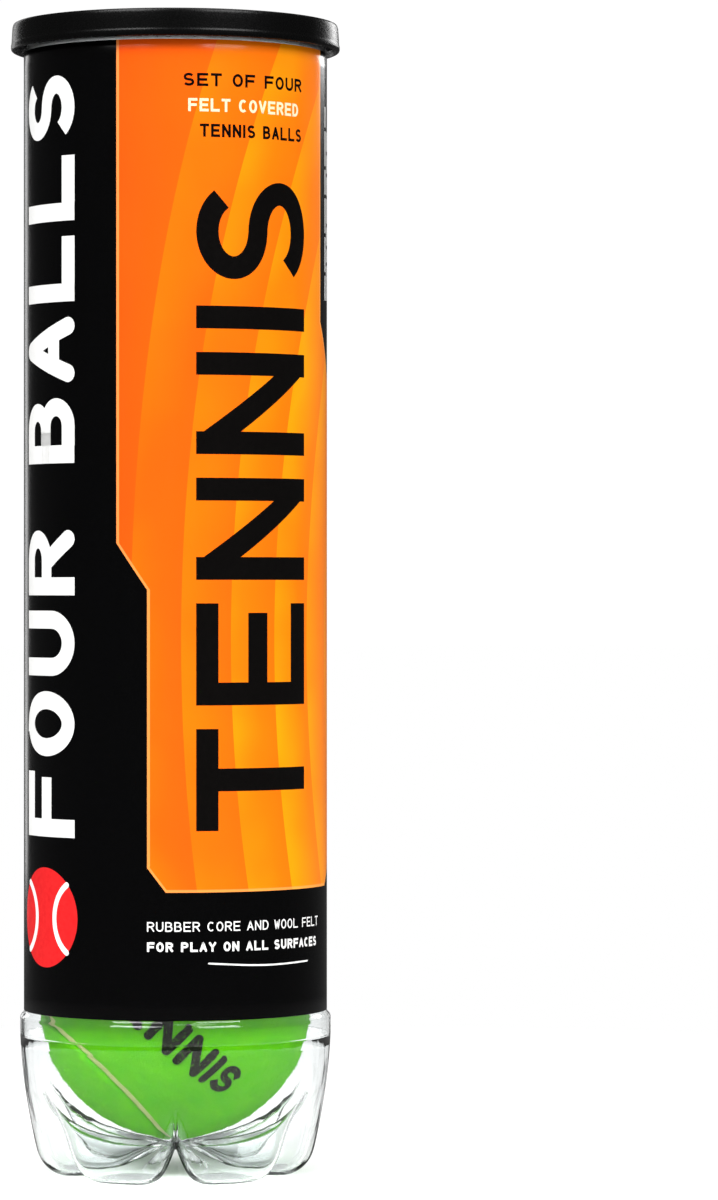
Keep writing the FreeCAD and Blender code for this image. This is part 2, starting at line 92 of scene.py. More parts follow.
# ---- meshes ----------------------------------------------------------------------------------------------
def grid_piece(name, points, body, material, uv=None, stands_for=(), smooth=True):
    """A piece from one or more grids of points in millimetres. Each grid is rows by columns by three numbers, a
    closing row or column is given again at the end, and doubled points are welded, so poles and seams close."""
    grids = points if isinstance(points, list) else [points]
    places, faces, start = [], [], 0
    for grid in grids:
        rows, columns = grid.shape[:2]
        index = np.arange(rows * columns).reshape(rows, columns)
        quads = np.stack([index[:-1, :-1], index[:-1, 1:], index[1:, 1:], index[1:, :-1]], -1).reshape(-1, 4)
        places.append(grid.reshape(-1, 3))
        faces.append(quads + start)
        start += rows * columns
    mesh = bpy.data.meshes.new(name)
    mesh.from_pydata(np.concatenate(places) * MM, [], np.concatenate(faces))
    if uv is not None:
        layer = mesh.uv_layers.new(name="Print")
        layer.data.foreach_set("uv", uv.reshape(-1, 2)[faces[0].reshape(-1)].astype(np.float32).ravel())
    shell = bmesh.new()
    shell.from_mesh(mesh)
    bmesh.ops.remove_doubles(shell, verts=shell.verts, dist=WELD_REACH)
    bmesh.ops.dissolve_degenerate(shell, edges=shell.edges, dist=SLIVER)
    bmesh.ops.recalc_face_normals(shell, faces=shell.faces)
    shell.to_mesh(mesh)
    shell.free()
    mesh.polygons.foreach_set("use_smooth", np.full(len(mesh.polygons), smooth))
    mesh.materials.append(material)
    piece = bpy.data.objects.new(name, mesh)
    bpy.context.scene.collection.objects.link(piece)
    if stands_for:
        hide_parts(*stands_for)
    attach(piece, body)


def rounded(points, radius, step):
    """A path through the corner points with each inner corner eased by a parabola that starts and ends radius
    away from it, sampled evenly, about step apart."""
    points = np.asarray(points, float)
    parts = [points[:1]]
    blend = np.linspace(0, 1, 9)[:, None]
    for before, here, after in zip(points, points[1:], points[2:]):
        back, ahead = before - here, after - here
        reach = min(radius, 0.49 * np.linalg.norm(back), 0.49 * np.linalg.norm(ahead))
        start = here + back / np.linalg.norm(back) * reach
        end = here + ahead / np.linalg.norm(ahead) * reach
        parts.append(start * (1 - blend) ** 2 + here * 2 * blend * (1 - blend) + end * blend**2)
    parts.append(points[-1:])
    path = np.concatenate(parts)
    lengths = np.concatenate([[0], np.cumsum(np.linalg.norm(np.diff(path, axis=0), axis=1))])
    count = max(int(lengths[-1] / step), 2) + 1
    places = np.linspace(0, lengths[-1], count)
    return np.stack([np.interp(places, lengths, path[:, axis]) for axis in range(path.shape[1])], 1)


def turned(profile, columns=240):
    """A surface of revolution: each (radius, height) of the profile swept once round the axis."""
    profile = np.asarray(profile, float)
    angle = np.linspace(0, 2 * np.pi, columns + 1)
    radius, height = profile[:, :1], profile[:, 1:2]
    return np.stack([radius * np.sin(angle), -radius * np.cos(angle), height + 0 * angle], -1)


def waves(points, wavelength, count=24):
    """Smooth noise about 0: the mean of plane sine waves in random directions, all near one wavelength."""
    direction = rng.normal(size=(count, 3))
    direction /= np.linalg.norm(direction, axis=1)[:, None]
    pace = 2 * np.pi / (wavelength * rng.uniform(0.7, 1.4, count))
    start = rng.uniform(0, 2 * np.pi, count)
    return np.sin(points @ (direction * pace[:, None]).T + start).sum(-1) / count**0.5


# ---- shaders ---------------------------------------------------------------------------------------------
class Wire:
    """A shader socket that Python arithmetic can be done on: each operator adds a Math node."""

    def __init__(self, finish, socket):
        self.finish, self.socket = finish, socket

    def maths(self, operation, *others):
        """A Math node of the operation, with this wire first."""
        values = dict(enumerate((self,) + others))
        return self.finish.node("ShaderNodeMath", {"operation": operation}, values)

    def __add__(self, other):
        return self.maths("ADD", other)

    def __sub__(self, other):
        return self.maths("SUBTRACT", other)

    def __rsub__(self, other):
        return self.finish.node("ShaderNodeMath", {"operation": "SUBTRACT"}, {0: other, 1: self})

    def __mul__(self, other):
        return self.maths("MULTIPLY", other)

    def __truediv__(self, other):
        return self.maths("DIVIDE", other)

    def __rtruediv__(self, other):
        return self.finish.node("ShaderNodeMath", {"operation": "DIVIDE"}, {0: other, 1: self})

    def __gt__(self, other):
        return self.maths("GREATER_THAN", other)

    def __lt__(self, other):
        return self.maths("LESS_THAN", other)

    def held(self):
        """Kept between 0 and 1."""
        return self.finish.node("ShaderNodeClamp", {}, {"Value": self})

    def between(self, low, high):
        """0 at low, 1 at high, a straight line between them."""
        return ((self - low) / (high - low)).held()

    __radd__, __rmul__ = __add__, __mul__


class Finish:
    """One material, or the surround's light where its own node tree is given."""

    def __init__(self, name, tree=None):
        if tree is None:
            self.material = bpy.data.materials.new(name)
            self.material.use_nodes = True
            tree = self.material.node_tree
            tree.nodes.clear()
        self.tree = tree

    def node(self, kind, settings, values, output=0):
        """A node of that kind: its settings first, then the values or links of its sockets."""
        made = self.tree.nodes.new(kind)
        for key, value in settings.items():
            if key == "stops":
                for extra in value[2:]:
                    made.color_ramp.elements.new(extra[0])
                for element, (place, colour) in zip(made.color_ramp.elements, value):
                    element.position, element.color = place, colour
            else:
                setattr(made, key, value)
        for key, value in values.items():
            if isinstance(value, Wire):
                self.tree.links.new(value.socket, made.inputs[key])
            else:
                made.inputs[key].default_value = value
        return Wire(self, made.outputs[output]) if made.outputs else None

    def place(self):
        """Position on the object, in millimetres."""
        coordinates = self.node("ShaderNodeTexCoord", {}, {}, "Object")
        return self.node("ShaderNodeVectorMath", {"operation": "SCALE"}, {0: coordinates, "Scale": 1000.0})

    def noise(self, place, scale, detail=3.0, roughness=0.5, stretch=None):
        """Cloudy noise: scale is in features a millimetre, and stretch squeezes each axis by its factor."""
        if stretch:
            place = self.node("ShaderNodeVectorMath", {"operation": "MULTIPLY"}, {0: place, 1: stretch})
        values = {"Vector": place, "Scale": scale, "Detail": detail, "Roughness": roughness}
        return self.node("ShaderNodeTexNoise", {}, values)

    def parts(self, vector):
        """The X, Y and Z of a vector."""
        separated = self.node("ShaderNodeSeparateXYZ", {}, {0: vector}).socket.node
        return [Wire(self, output) for output in separated.outputs]

    def mix(self, share, one, other):
        """A colour between one and other, share of the way."""
        return self.node("ShaderNodeMix", {"data_type": "RGBA"}, {0: share, 6: one, 7: other}, 2)

    def bump(self, height, strength, distance):
        """The normal of a surface raised by height, distance metres at most."""
        return self.node("ShaderNodeBump", {}, {"Height": height, "Strength": strength, "Distance": distance})

    def surface(self, **values):
        """The Principled shader. Names are the sockets' own with _ for a space."""
        wanted = {key.replace("_", " "): value for key, value in values.items()}
        return self.node("ShaderNodeBsdfPrincipled", {}, wanted)

    def done(self, shader):
        """The finished material, with the shader on its output."""
        self.node("ShaderNodeOutputMaterial", {}, {"Surface": shader})
        return self.material


def screen(red, green, blue):
    """A colour given as 0 to 255 on a screen, as linear light."""
    value = np.array([red, green, blue]) / 255
    linear = np.where(value <= 0.04045, value / 12.92, ((value + 0.055) / 1.055) ** 2.4)
    return (*linear.tolist(), 1.0)


def clear_plastic():
    """Blown clear plastic: glass-like, with faint flow lines, that lets lamps through to what is in it."""
    finish = Finish("clear plastic")
    place = finish.place()
    flow = finish.noise(place, 0.09, 2.0, 0.5, (1.0, 1.0, 0.35))
    haze = finish.noise(place, 0.5, 4.0, 0.6)
    _, _, height = finish.parts(place)
    worn = (1 - height.between(0.1, 1.3)) * (0.5 + haze)
    normal = finish.bump(flow, 0.25, 0.001)
    glass = finish.surface(Base_Color=screen(250, 252, 252), Roughness=0.01 + 0.04 * haze + 0.3 * worn, IOR=1.4,
                           Transmission_Weight=1.0, Normal=normal)
    lamp = finish.node("ShaderNodeLightPath", {}, {}, "Is Shadow Ray")
    through = finish.node("ShaderNodeBsdfTransparent", {}, {"Color": (0.94, 0.95, 0.95, 1)})
    return finish.done(finish.node("ShaderNodeMixShader", {}, {0: lamp, 1: glass, 2: through}))


def film(finish, colour, place):
    """Gloss film round the bottle: slow waves from the wall under it and faint handling scuffs."""
    slow = finish.noise(place, 0.035, 2.0, 0.4, (1.0, 1.0, 0.5))
    scuffs = finish.noise(place, 0.35, 6.0, 0.65, (1.0, 1.0, 0.12))
    return finish.surface(Base_Color=colour, Roughness=0.14 + 0.12 * scuffs, Specular_IOR_Level=0.2,
                          Normal=finish.bump(slow, 0.2, 0.001))


def wrap_print_and_highlights():
    """The wrap's own print: a black ground and two orange panels, whose edges are straight lines on the map of
    the wrap, x round it from the front and y up it, in millimetres. Curved lighter bands over the orange are
    painted highlights. The back panel is a plain upright one."""
    finish = Finish("wrap print and painted highlights")
    place = finish.place()
    spread = finish.node("ShaderNodeUVMap", {"uv_map": "Print"}, {})
    along, up, _ = finish.parts(spread)
    left = -14.4 + 7.6 * (1 - up.between(142.2, 153.3)) + 4.5 * (1 - up.between(70.4, 76.3))
    right = 46.0 + 11.0 * (1 - up.between(190.5, 207.0)) - 7.0 * (1 - up.between(70.4, 77.0))
    behind = along < -60.0
    front = (along > left) * (along < right) * (up > 70.45)
    front_core = (along > left + 0.7) * (along < right - 0.7) * (up > 71.1)
    back = (along > -108.0) * (along < -66.0) * (up > 88.0) * (up < 252.0)
    back_core = (along > -107.3) * (along < -66.7) * (up > 88.7) * (up < 251.3)
    inside = front + behind * (back - front)
    border = 1 - (front_core + behind * (back_core - front_core))
    along = along + 115.0 * behind
    # Painted highlights: curved lighter bands in rings across the orange, which push it towards yellow.
    across, tall = (along - 70.0) / 80.8, (up - 130.0) / 213.0
    steps = (1 - (across * across + tall * tall).maths("SQRT")) / 0.15
    painted_highlight_bands = (1 - steps.maths("FRACT")) * (steps > 0.0)
    cloud = finish.noise(place, 0.03, 2.0, 0.5)
    # The orange's tone: the print's gradient from left to right, the painted highlight bands and random cloud.
    warmth = along.between(-20, 32) * 0.55 + painted_highlight_bands * (0.1 + 0.4 * cloud) + (cloud - 0.5) * 0.3
    glow = finish.node("ShaderNodeValToRGB", {"stops": [
        (0.0, screen(250, 84, 12)), (0.3, screen(250, 98, 8)),
        (0.62, screen(250, 124, 4)), (0.9, screen(250, 162, 4))]}, {0: warmth})
    edge = finish.mix(along.between(34, 56) * 0.75, glow, screen(255, 142, 44))
    lined = finish.mix(border * 0.55, edge, screen(255, 178, 96))
    speck = finish.noise(place, 1.5, 2.0, 0.5)
    ground = finish.mix(speck, screen(2, 2, 2), screen(6, 6, 7))
    return finish.done(film(finish, finish.mix(inside, ground, lined), place))


def ink(name, colour, second):
    """Printed ink under the film's gloss, slightly uneven in strength."""
    finish = Finish(name)
    place = finish.place()
    return finish.done(film(finish, finish.mix(finish.noise(place, 0.8, 3.0, 0.6), colour, second), place))


def cap_plastic():
    """Moulded black plastic: a fine spark texture and slow sink marks."""
    finish = Finish("cap plastic")
    place = finish.place()
    spark, slow = finish.noise(place, 2.2, 3.0, 0.6), finish.noise(place, 0.06, 2.0, 0.4)
    colour = finish.mix(spark, screen(4, 4, 4), screen(9, 9, 9))
    return finish.done(finish.surface(Base_Color=colour, Roughness=0.2 + 0.14 * spark, Specular_IOR_Level=0.18,
                                      Normal=finish.bump(spark * 0.3 + slow, 0.12, 0.0008)))


def end_metal():
    """Lacquered aluminium sheet with the grain of its rolling along X."""
    finish = Finish("end metal")
    place = finish.place()
    grain = finish.noise(place, 1.0, 5.0, 0.7, (0.12, 3.5, 1.0))
    stain = finish.noise(place, 0.15, 3.0, 0.6)
    colour = finish.mix(grain * 0.6 + stain * 0.4, screen(196, 197, 199), screen(232, 232, 231))
    return finish.done(finish.surface(Base_Color=colour, Metallic=1.0, Roughness=0.2 + 0.2 * grain,
                                      Coat_Weight=0.15, Coat_Roughness=0.1,
                                      Normal=finish.bump(grain, 0.12, 0.0003)))


def felt(name, deep, bright, sheen=0.12):
    """Woven, brushed wool and nylon felt: clumps of nap a few millimetres across and fine fibre over them."""
    finish = Finish(name)
    place = finish.place()
    clump = finish.noise(place, 0.22, 4.0, 0.6)
    fibre = finish.noise(place, 3.0, 5.0, 0.75)
    shade = (clump * 0.6 + fibre * 0.7 - 0.15).held()
    colour = finish.mix(shade, deep, bright)
    height = clump * 0.5 + fibre
    return finish.done(finish.surface(Base_Color=colour, Roughness=0.92 + 0.06 * fibre, Specular_IOR_Level=0.05,
                                      Sheen_Weight=sheen, Sheen_Roughness=0.45, Sheen_Tint=bright,
                                      Normal=finish.bump(height, 0.7, 0.0005)))


def rubber(name, pale, dark):
    """Cured rubber cement, a little dirty and dimpled."""
    finish = Finish(name)
    place = finish.place()
    dirt, dimple = finish.noise(place, 0.6, 4.0, 0.6), finish.noise(place, 2.5, 2.0, 0.5)
    return finish.done(finish.surface(Base_Color=finish.mix(dirt, dark, pale), Roughness=0.6 + 0.25 * dimple,
                                      Normal=finish.bump(dimple, 0.4, 0.0003)))


CLEAR = clear_plastic()
PRINT_AND_HIGHLIGHTS = wrap_print_and_highlights()
WHITE_INK = ink("white ink", screen(240, 240, 238), screen(250, 250, 249))
BLACK_INK = ink("black ink", screen(6, 5, 5), screen(14, 12, 11))
CREAM_INK = ink("cream ink", screen(255, 226, 178), screen(255, 238, 205))
RED_INK = ink("red ink", screen(214, 24, 30), screen(236, 44, 44))
CAP_PLASTIC = cap_plastic()
METAL = end_metal()
FELT_GREEN = felt("ball felt", screen(46, 176, 0), screen(118, 206, 10))
NAP_GREEN = felt("ball nap", screen(58, 184, 0), screen(138, 216, 24))
STAMP_INK = felt("stamp ink", screen(8, 12, 6), screen(26, 34, 14), 0.024)
CEMENT = rubber("seam cement", screen(198, 204, 140), screen(160, 176, 92))
CORE_RUBBER = rubber("core rubber", screen(74, 70, 66), screen(48, 45, 43))
COMPOUND = rubber("sealing compound", screen(205, 203, 190), screen(180, 178, 165))


# ---- bottle ----------------------------------------------------------------------------------------------
def foot_outline(radius, centre, pad, corner):
    """Control points down the middle of a foot: dome, flat pad, round corner, side."""
    share = np.arange(6) / 6
    dome = np.stack([FOOT_PAD_INNER * share, centre + (pad - centre) * (1 - np.cos(np.pi * share)) / 2], 1)
    share = np.arange(4) / 4
    flat = np.stack([FOOT_PAD_INNER + (FOOT_PAD_OUTER - FOOT_PAD_INNER) * share, pad + 0 * share], 1)
    turn = FOOT_CORNER_TURN * np.arange(5) / 5
    bend = np.stack([FOOT_PAD_OUTER + corner * np.sin(turn), pad + corner * (1 - np.cos(turn))], 1)
    low_r = FOOT_PAD_OUTER + corner * math.sin(FOOT_CORNER_TURN)
    low_z = pad + corner * (1 - math.cos(FOOT_CORNER_TURN))
    share = np.arange(9) / 8
    side_r = radius - (radius - low_r) * (1 - share) ** FOOT_SIDE_POWER
    side = np.stack([side_r, low_z + (BASE_TOP - low_z) * share], 1)
    return np.concatenate([dome, flat, bend, side])


def shares(points):
    """How far along a polyline each of its points lies, from 0 to 1."""
    lengths = np.concatenate([[0], np.cumsum(np.linalg.norm(np.diff(points, axis=0), axis=1))])
    return lengths / lengths[-1]


def valley_outline(radius, centre, foot):
    """Control points of the elliptical dome between the feet, then straight up, as far along as the foot's."""
    turn = np.linspace(0, np.pi / 2, 41)
    dome = np.stack([radius * np.sin(turn), centre + (VALLEY_TOP - centre) * (1 - np.cos(turn))], 1)
    dome = np.concatenate([dome, [[radius, BASE_TOP]]])
    wanted, have = shares(foot), shares(dome)
    return np.stack([np.interp(wanted, have, dome[:, 0]), np.interp(wanted, have, dome[:, 1])], 1)


def clamped_weights(count, places):
    """Cubic B-spline weights of count control points at each place, by the Cox-de Boor rule, ends clamped."""
    knots = np.concatenate([[0] * 3, np.arange(count - 2), [count - 3] * 3]).astype(float)
    place = np.minimum(places, count - 3 - 1e-9)[:, None]
    weights = ((place >= knots[:-1]) & (place < knots[1:])).astype(float)
    for degree in range(1, 4):
        span = knots[degree:] - knots[:-degree]
        rising = (place - knots[:-degree]) / np.where(span > 0, span, 1) * (span > 0)
        weights = rising[:, :-1] * weights[:, :-1] + ((span > 0) - rising)[:, 1:] * weights[:, 1:]
    return weights


def round_weights(count, places):
    """Cubic B-spline weights of count control points on a closed ring."""
    gap = np.abs(places[:, None] - np.arange(count))
    gap = np.minimum(gap, count - gap)
    return np.where(gap < 1, 2 / 3 - gap**2 + gap**3 / 2, np.where(gap < 2, (2 - gap).clip(0) ** 3 / 6, 0))


def petal_base(radius, centre, pad, corner, rows, columns):
    """The petal base: at each angle the meridian lies between a valley's and a foot's, by a share that rises
    from 0 on a valley to 1 on a foot with rounded shoulders, and a B-spline smooths the net both ways."""
    foot = foot_outline(radius, centre, pad, corner)
    valley = valley_outline(radius, centre, foot)
    around = 44 * FOOT_COUNT
    angle = 2 * np.pi * np.arange(around) / around

    def shoulder(turn):
        raw = np.abs(np.sin(FOOT_COUNT * turn / 2)) / VALLEY_SHARE
        return (raw + 1 - np.sqrt((raw - 1) ** 2 + 0.0625)) / 2

    low, high = shoulder(np.array(0.0)), shoulder(np.array(np.pi / FOOT_COUNT))
    share = (shoulder(angle) - low) / (high - low)
    meridian = valley[:, None] + (foot - valley)[:, None] * share[None, :, None]
    flat = meridian[..., 0]
    net = np.stack([flat * np.sin(angle), -flat * np.cos(angle), meridian[..., 1]], -1)
    down = clamped_weights(len(foot), np.linspace(0, len(foot) - 3, rows))
    round_ = round_weights(around, np.linspace(0, around, columns + 1) % around)
    return np.einsum("ri,ijk,cj->rck", down, net, round_)


def bottle():
    """The clear bottle as one closed skin: up the outside from the gate, over the flange, down the inside."""
    columns = 312
    outside = petal_base(BASE_R - PARTING_STEP, CENTRE_Z, -FOOT_SUNK, FOOT_CORNER, 84, columns)
    outside[..., 2] = outside[..., 2].clip(0)
    inside = petal_base(BASE_R - PARTING_STEP - WALL, CENTRE_Z + CENTRE_WALL, FOOT_WALL - FOOT_SUNK,
                        FOOT_CORNER - FOOT_WALL, 70, columns)
    nub = np.array([(0, -0.65), (1.2, -0.7), (1.55, -0.55), (1.62, -0.15)]) + [0, CENTRE_Z]
    keep = np.hypot(outside[:, 0, 0], outside[:, 0, 1]) > GATE_CLEAR
    band = rounded([(BASE_R - PARTING_STEP, BASE_TOP), (BASE_R, BASE_TOP + 0.8),
                    (BASE_R, BAND_TOP), (PANEL_R, BAND_TOP + STEP_RISE), (PANEL_R, BAND_TOP + 8)], 0.5, 0.22)
    low_flange = FLANGE_TOP - FLANGE_THICK
    neck = rounded([(PANEL_R, low_flange - 3), (PANEL_R, low_flange), (FLANGE_R, low_flange),
                    (FLANGE_R, FLANGE_TOP), (BORE_R, FLANGE_TOP), (BORE_R, FLANGE_TOP - 3)], 0.3, 0.15)
    bore = rounded([(BORE_R, BAND_TOP + 8), (BORE_R, BAND_TOP + STEP_RISE - WALL / 2),
                    (BASE_R - WALL, BAND_TOP - WALL / 2), (BASE_R - WALL, BASE_TOP + 0.8),
                    (BASE_R - PARTING_STEP - WALL, BASE_TOP)], 0.5, 0.4)
    wall = np.concatenate([band, neck, bore])
    rows = np.concatenate([turned(nub, columns), outside[keep], turned(wall, columns), inside[::-1]])
    grid_piece("bottle", rows, "can", CLEAR, stands_for=["can_bottle"])


# ---- wrap and its print ----------------------------------------------------------------------------------
def on_wrap(along, up, lift):
    """A point of the wrap's map, laid on the cylinder: along is the arc from the front, lift is outwards."""
    angle, radius = along / WRAP_R, WRAP_R + lift
    return np.stack([radius * np.sin(angle), -radius * np.cos(angle), up + 0 * along], -1)


def wrap_film():
    """The printed film: a thin closed tube whose outside rises by one film's thickness where its ends lap at
    the back, over 5 mm."""
    half = np.pi * WRAP_R
    step = half - 5.3
    along = np.concatenate([np.linspace(-half, step, 361), step + np.array([0.05, 0.2, 1.5, 3.5]), [half]])
    lap = np.where(along > step + 0.02, 0.06, 0.0)
    heights = np.concatenate([[WRAP_LOW], [WRAP_LOW], np.linspace(WRAP_LOW + 0.05, WRAP_HIGH - 0.05, 60),
                              [WRAP_HIGH], [WRAP_HIGH], [WRAP_LOW]])
    lifts = np.concatenate([[-0.1], [-0.04], np.zeros(60), [-0.04], [-0.1], [-0.1]])
    outer = (lifts > -0.05)[:, None]
    grid = on_wrap(along[None, :], heights[:, None], lifts[:, None] + lap[None, :] * outer)
    spread = np.stack(np.broadcast_arrays(along[None, :], heights[:, None]), -1)
    grid_piece("wrap_film", grid, "can", PRINT_AND_HIGHLIGHTS, uv=spread, stands_for=["wrap"])


def bend(x, y, across, up, start, end, count=20):
    """Points of an arc of an ellipse, from one angle to another, in degrees."""
    turn = np.radians(np.linspace(start, end, count))
    return [(x + across * c, y + up * r) for c, r in zip(np.cos(turn), np.sin(turn))]


STEM, BAR, TOP, FOOT = [(0, 0), (0, 1)], [(0, 0.5), (0.88, 0.5)], [(0, 1), (1, 1)], [(0, 0), (1, 0)]
BOWL = [(0, 1), *bend(0.55, 0.75, 0.45, 0.25, 90, -90), (0, 0.5)]
LETTERS = {
    "A": [[(0, 0), (0.5, 1)], [(0.5, 1), (1, 0)], [(0.2, 0.32), (0.8, 0.32)]],
    "B": [STEM, [(0, 1), *bend(0.5, 0.76, 0.4, 0.24, 90, -90), (0, 0.52)],
          [(0, 0.52), *bend(0.6, 0.26, 0.4, 0.26, 90, -90), (0, 0)]],
    "C": [bend(0.5, 0.5, 0.5, 0.5, 48, 312)],
    "D": [STEM, [(0, 1), *bend(0.42, 0.5, 0.58, 0.5, 90, -90), (0, 0)]],
    "E": [STEM, TOP, BAR, FOOT],
    "F": [STEM, TOP, BAR],
    "I": [[(0.5, 0), (0.5, 1)]],
    "L": [STEM, FOOT],
    "N": [STEM, [(0, 1), (1, 0)], [(1, 0), (1, 1)]],
    "O": [bend(0.5, 0.5, 0.5, 0.5, 90, 451, 40)],
    "P": [STEM, BOWL],
    "R": [STEM, BOWL, [(0.5, 0.5), (1, 0)]],
    "S": [bend(0.5, 0.75, 0.46, 0.25, 28, 268) + bend(0.5, 0.25, 0.5, 0.25, 92, -152)],
    "T": [TOP, [(0.5, 1), (0.5, 0)]],
    "U": [[(0, 1), *bend(0.5, 0.36, 0.5, 0.36, 180, 360), (1, 1)]],
    "V": [[(0, 1), (0.5, 0)], [(0.5, 0), (1, 1)]],
    "W": [[(0, 1), (0.25, 0)], [(0.25, 0), (0.5, 0.8)], [(0.5, 0.8), (0.75, 0)], [(0.75, 0), (1, 1)]],
    "Y": [[(0, 1), (0.5, 0.46)], [(0.5, 0.46), (1, 1)], [(0.5, 0.46), (0.5, 0)]],
}


def lettering(words, height, letter, gap, stroke):
    """The paths of a line of plain block capitals, x along the line and y up from its foot, kept half a stroke
    inside the given height. A space takes half a letter and an I one stroke."""
    paths, cursor = [], 0.0
    for character in words:
        width = stroke if character == "I" else letter
        for path in LETTERS.get(character, []):
            size = [max(width - stroke, 0), height - stroke]
            paths.append(np.array(path, float) * size + [cursor + stroke / 2, stroke / 2])
        cursor += (0.55 * letter if character == " " else width) + gap
    return paths, cursor - gap


def stroke_grid(path, width, corner, thick, place, square=True):
    """One inked stroke: a flat section carried along its path, closed at both ends. Ends that run level or
    upright are square and reach half a stroke further, a slanting stroke's are round, and a curve's are cut
    across. The section's top is thick above the surface and its foot a little under it, and place lays
    (x, y, lift) on the surface."""
    path = np.array(path, float)
    square = square and (len(path) > 2 or np.abs(path[1] - path[0]).min() < 1e-6)
    if square:
        for end, inner in ((0, 1), (-1, -2)):
            out = path[end] - path[inner]
            if np.abs(out).min() < 0.1 * np.abs(out).max():
                path[end] += out / np.linalg.norm(out) * width / 2
    line = rounded(path, corner, max(0.3, min(0.25 * width, 0.8)))
    along = np.gradient(line, axis=0)
    along /= np.linalg.norm(along, axis=1)[:, None]
    turn = np.array([]) if square else np.linspace(0, np.pi / 2, 5)[1:]
    reach = width / 2 * np.concatenate([-np.sin(turn[::-1]), np.zeros(len(line)), np.sin(turn)])
    half = width / 2 * np.concatenate([np.cos(turn[::-1]), np.ones(len(line)), np.cos(turn)])
    index = np.concatenate([np.zeros(len(turn), int), np.arange(len(line)), np.full(len(turn), len(line) - 1)])
    ends = np.concatenate([[0], index, [len(line) - 1]]).astype(int)
    reach, half = np.concatenate([reach[:1], reach, reach[-1:]]), np.concatenate([[0], half, [0]])
    centre = line[ends] + along[ends] * reach[:, None]
    side = np.stack([-along[ends][:, 1], along[ends][:, 0]], 1)
    across = np.linspace(-1, 1, 6)
    section = np.concatenate([across, across[::-1], across[:1]])
    lift = np.concatenate([np.full(6, thick), np.full(6, UNDER), [thick]])
    flat = centre[:, None] + side[:, None] * (half[:, None] * section)[..., None]
    lifts = np.broadcast_to(lift, flat.shape[:2]).copy()
    lifts[[0, -1]] = thick / 2
    return place(flat[..., 0], flat[..., 1], lifts)


def patch_grid(outline, thick, place, rings=10):
    """A filled shape: its outline shrunk in steps to its middle, on top and again underneath."""
    outline = np.asarray(outline, float)
    middle = outline.mean(0)
    outline = np.concatenate([outline, outline[:1]])
    shrink = np.concatenate([np.linspace(0, 1, rings), np.linspace(1, 0, rings)])[:, None, None]
    lift = np.concatenate([np.full(rings, thick), np.full(rings, UNDER)])[:, None] + 0 * outline[None, :, 0]
    flat = middle + shrink * (outline - middle)
    return place(flat[..., 0], flat[..., 1], lift)


def ring_points(centre, radius, count=72):
    """Points evenly round a circle."""
    turn = 2 * np.pi * np.arange(count) / count
    return np.stack([centre[0] + radius * np.cos(turn), centre[1] + radius * np.sin(turn)], 1)


def upwards(left, foot):
    """Lays a line of lettering up the can, the letters' feet to the right at left + their height."""
    return lambda x, y, lift: on_wrap(left - y, foot + x, lift)


def level(left, foot):
    """Lays a line of lettering level on the can, from left, its foot at that height."""
    return lambda x, y, lift: on_wrap(left + x, foot + y, lift)


def printed(name, grids, material):
    """A piece of the wrap's print, with flat faces."""
    grid_piece(name, grids, "can", material, smooth=False)


def print_words(name, lines, material, stroke, corner=0.35, thick=INK):
    """Lines of lettering as one piece: the words, height, letter width, gap and place of each."""
    grids = []
    for words, height, letter, gap, place in lines:
        paths, _ = lettering(words, height, letter, gap, stroke)
        grids += [stroke_grid(path, stroke, corner, thick, place) for path in paths]
    printed(name, grids, material)


def printing():
    """The front and the sides: two upright words, small lines, two rows of dashes, a rule and a ball badge."""
    main = ("TENNIS", 31.6, 24.2, 5.6, upwards(36.5, 85.0))
    side = ("FOUR BALLS", 21.0, 15.6, 3.7, upwards(-26.2, 83.0))
    count = ("SET OF FOUR", 3.1, 2.7, 0.62, level(1.8, 261.6))
    goods = ("TENNIS BALLS", 3.1, 2.2, 0.5, level(5.8, 249.6))
    cover = ("FELT COVERED", 3.1, 2.2, 0.5, level(3.0, 255.6))
    makeup = ("RUBBER CORE AND WOOL FELT", 2.3, 1.75, 0.42, level(-6.8, 61.2))
    use = ("FOR PLAY ON ALL SURFACES", 2.3, 1.8, 0.42, level(-6.8, 56.4))
    print_words("print_main_word", [main], BLACK_INK, 5.4, *WORD)
    print_words("print_side_word", [side], WHITE_INK, 4.3, *WORD)
    print_words("print_top_dark", [count, goods], BLACK_INK, 0.62)
    print_words("print_top_cream", [cover], CREAM_INK, 0.62)
    print_words("print_low_light", [makeup], WHITE_INK, 0.32)
    print_words("print_low_bold", [use], WHITE_INK, 0.52)
    dashes = []
    for left, total in ((51.5, 46.0), (54.0, 40.0)):
        cursor = 0.0
        while cursor < total:
            length = rng.choice([2.2, 3.4, 5.0, 7.5])
            row = [(cursor, 0.5), (min(cursor + length, total), 0.5)]
            dashes.append(stroke_grid(row, 1.0, 0.1, INK, upwards(left, 213.0)))
            cursor += length + 1.9
    printed("print_dashes", dashes, WHITE_INK)
    rule = stroke_grid([(8, 53.6), (22, 52.7), (38, 53.0)], 0.4, 6.0, INK, on_wrap, False)
    printed("print_rule", rule, WHITE_INK)
    badge = (-37.3, 63.6)
    printed("print_badge", patch_grid(ring_points(badge, 12.0), INK, on_wrap, 12), RED_INK)
    turn = np.radians(np.linspace(-58, 58, 25))
    arcs = []
    for way in (-1, 1):
        arc = np.stack([badge[0] + way * (13.5 - 9.5 * np.cos(turn)), badge[1] + 9.5 * np.sin(turn)], 1)
        arcs.append(stroke_grid(arc, 1.5, 0.2, 0.06, on_wrap, False))
    printed("print_badge_seams", arcs, WHITE_INK)


